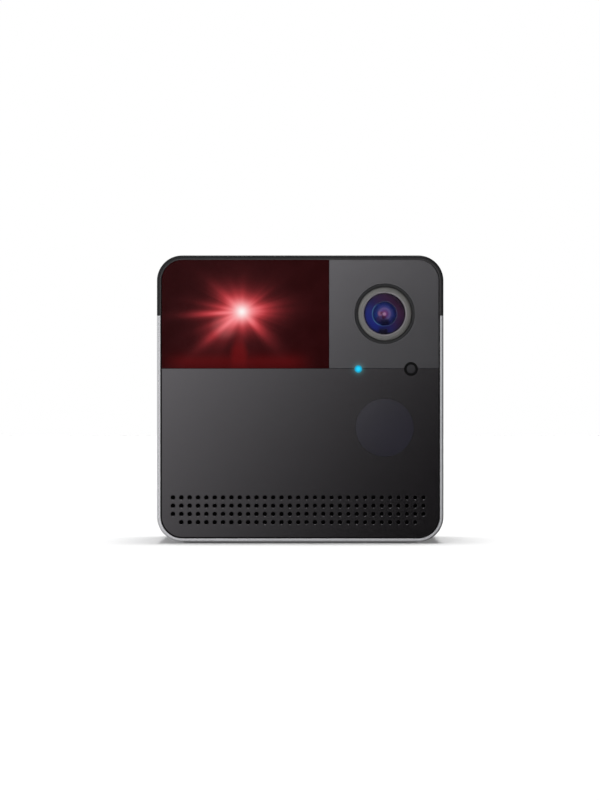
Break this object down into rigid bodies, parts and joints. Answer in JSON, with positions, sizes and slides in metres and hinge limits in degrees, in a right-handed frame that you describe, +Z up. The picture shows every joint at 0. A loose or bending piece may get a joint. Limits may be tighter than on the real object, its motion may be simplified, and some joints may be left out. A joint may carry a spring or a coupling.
{
  "type": "interactive pet camera",
  "caption": "Cube-shaped pet camera: aluminium sleeve, glossy front with a lens, speaker holes and a red window, and a geared pan and tilt laser inside.",
  "frame": {"origin": "on the ground under the middle of the cube, at the bottom centre of its box", "axes": "+X to the right of someone who faces the front, +Y from the front to the back, +Z up"},
  "size_m": [0.1016, 0.1016, 0.1021],
  "materials": {
    "anodised_aluminium": "satin, bead blasted",
    "window_plastic": "satin moulded",
    "red_filter": "polished tinted acrylic",
    "smoked_panel": "polished, printed behind",
    "speaker_plastic": "polished",
    "sensor_tint": "polished, passes infrared",
    "moulded_black": "fine spark texture",
    "bezel_grey": "satin",
    "coated_glass": "polished, anti-reflection coated",
    "clear_glass": "polished",
    "light_guide": "clear, lit blue from behind",
    "diode_white": "moulded",
    "board_green": "solder mask",
    "chip_black": "moulded",
    "rubber_black": "matt",
    "steel": "bright zinc plated",
    "brass": "turned",
    "bronze": "sintered",
    "copper": "enamelled wire",
    "gear_white": "moulded acetal",
    "paper_cone": "pressed paper",
    "mesh_cloth": "woven",
    "ferrite": "ground",
    "ribbon": "polyimide film"
  },
  "bodies": {
    "housing": {"body_sleeve": "anodised_aluminium", "antenna_window": "window_plastic", "laser_window": "red_filter", "camera_panel": "smoked_panel", "speaker_panel": "speaker_plastic", "sensor_cover": "sensor_tint", "front_chassis": "moulded_black", "status_light_pipe": "light_guide", "status_diode": "diode_white", "mic_boot": "rubber_black", "microphone": "steel", "motion_sensor": "steel", "sensor_board": "board_green", "camera_board": "board_green", "lens_ring": "bezel_grey", "front_lens": "coated_glass", "lens_barrel": "moulded_black", "inner_lens": "clear_glass", "lens_iris": "moulded_black", "rear_lens": "clear_glass", "lens_holder": "moulded_black", "image_sensor": "chip_black", "acoustic_mesh": "mesh_cloth", "speaker_tray": "moulded_black", "speaker_frame": "steel", "speaker_surround": "rubber_black", "speaker_magnet": "ferrite", "laser_bracket": "steel", "pan_bush": "bronze", "pan_motor": "steel", "bracket_screw_1": "steel", "bracket_screw_2": "steel", "main_board": "board_green", "processor": "chip_black", "heat_sink": "anodised_aluminium", "radio_shield": "steel", "antenna_board": "board_green", "camera_ribbon": "ribbon", "rear_cover": "moulded_black", "power_socket": "moulded_black", "reset_switch": "steel", "rear_screw_1": "steel", "rear_screw_2": "steel", "rear_screw_3": "steel", "rear_screw_4": "steel", "rubber_foot": "rubber_black", "tripod_socket": "brass"},
    "laser_turret": {"pan_yoke": "gear_white", "pan_clip": "steel", "tilt_motor": "steel"},
    "laser_cradle": {"laser_cradle": "gear_white", "laser_module": "brass", "laser_lens": "clear_glass"},
    "pan_pinion": {"pan_pinion": "brass"},
    "tilt_pinion": {"tilt_pinion": "brass"},
    "reset_button": {"reset_button": "rubber_black", "switch_plunger": "moulded_black"},
    "speaker_cone": {"speaker_cone": "paper_cone", "voice_coil": "copper"}
  },
  "joints": [
    {"name": "laser_pan", "type": "hinge", "parent": "housing", "child": "laser_turret", "pos_m": [-0.0203, -0.033, 0.08208], "axis": [0, 0, 1], "range_deg": [-40, 40]},
    {"name": "laser_tilt", "type": "hinge", "parent": "laser_turret", "child": "laser_cradle", "pos_m": [-0.0203, -0.033, 0.08208], "axis": [1, 0, 0], "range_deg": [-15, 30]},
    {"name": "pan_pinion_spin", "type": "hinge", "parent": "housing", "child": "pan_pinion", "pos_m": [-0.0203, -0.021, 0.08208], "axis": [0, 0, 1], "range_deg": [-122, 122]},
    {"name": "tilt_pinion_spin", "type": "hinge", "parent": "laser_turret", "child": "tilt_pinion", "pos_m": [-0.0203, -0.0228, 0.08208], "axis": [1, 0, 0], "range_deg": [-73, 37]},
    {"name": "reset_press", "type": "slide", "parent": "housing", "child": "reset_button", "axis": [0, -1, 0], "range_m": [0, 0.0005], "stiffness_N_per_m": 600},
    {"name": "cone_stroke", "type": "slide", "parent": "housing", "child": "speaker_cone", "axis": [0, -1, 0], "range_m": [-0.0004, 0.0004], "stiffness_N_per_m": 900}
  ],
  "couplings": [
    {"joint": "pan_pinion_spin", "follows": "laser_pan", "ratio": -3},
    {"joint": "tilt_pinion_spin", "follows": "laser_tilt", "ratio": -2.4}
  ]
}
